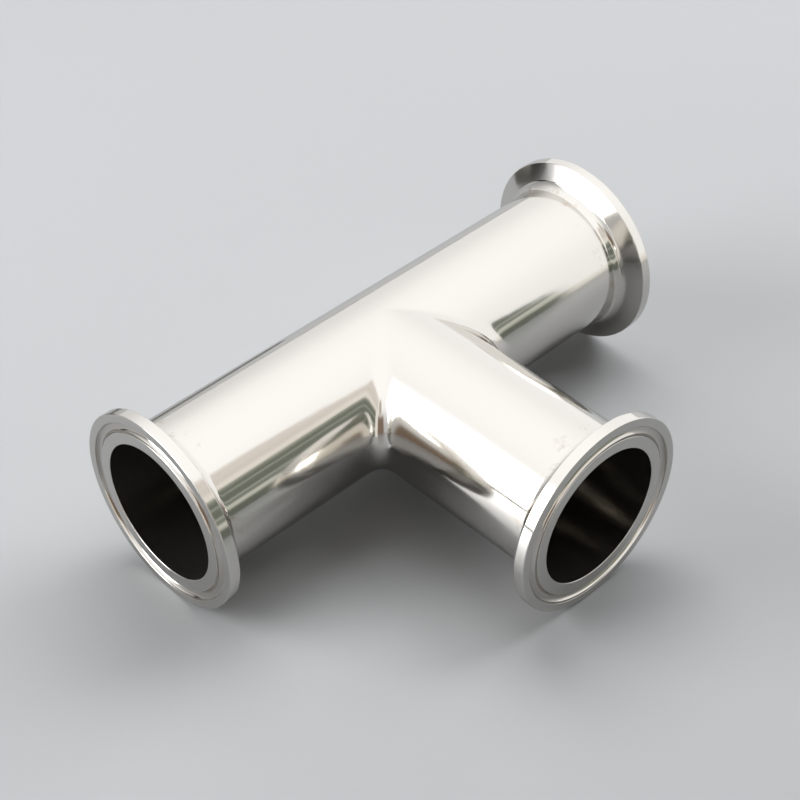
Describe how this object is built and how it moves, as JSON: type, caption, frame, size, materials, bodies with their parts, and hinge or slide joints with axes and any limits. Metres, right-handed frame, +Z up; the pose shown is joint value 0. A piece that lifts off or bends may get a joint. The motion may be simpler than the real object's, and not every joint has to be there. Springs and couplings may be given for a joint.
{
  "type": "sanitary clamp-ferrule tee",
  "caption": "Equal pipe tee in polished stainless steel tube with a grooved clamp ferrule on each end, for clamped vacuum or process lines.",
  "frame": {"origin": "where the centrelines of the run and the branch cross, in the middle of the run bore", "axes": "X along the run, branch outlet pointing along -Y, +Z up and square to the plane of the three centrelines"},
  "size_m": [0.14, 0.0952, 0.0506],
  "materials": {
    "polished_tube": "mirror polished stainless steel",
    "turned_ferrule": "turned and polished stainless steel"
  },
  "bodies": {
    "root": {"tee_body": "polished_tube", "ferrule_run_left": "turned_ferrule", "ferrule_run_right": "turned_ferrule", "ferrule_branch": "turned_ferrule"}
  },
  "joints": []
}
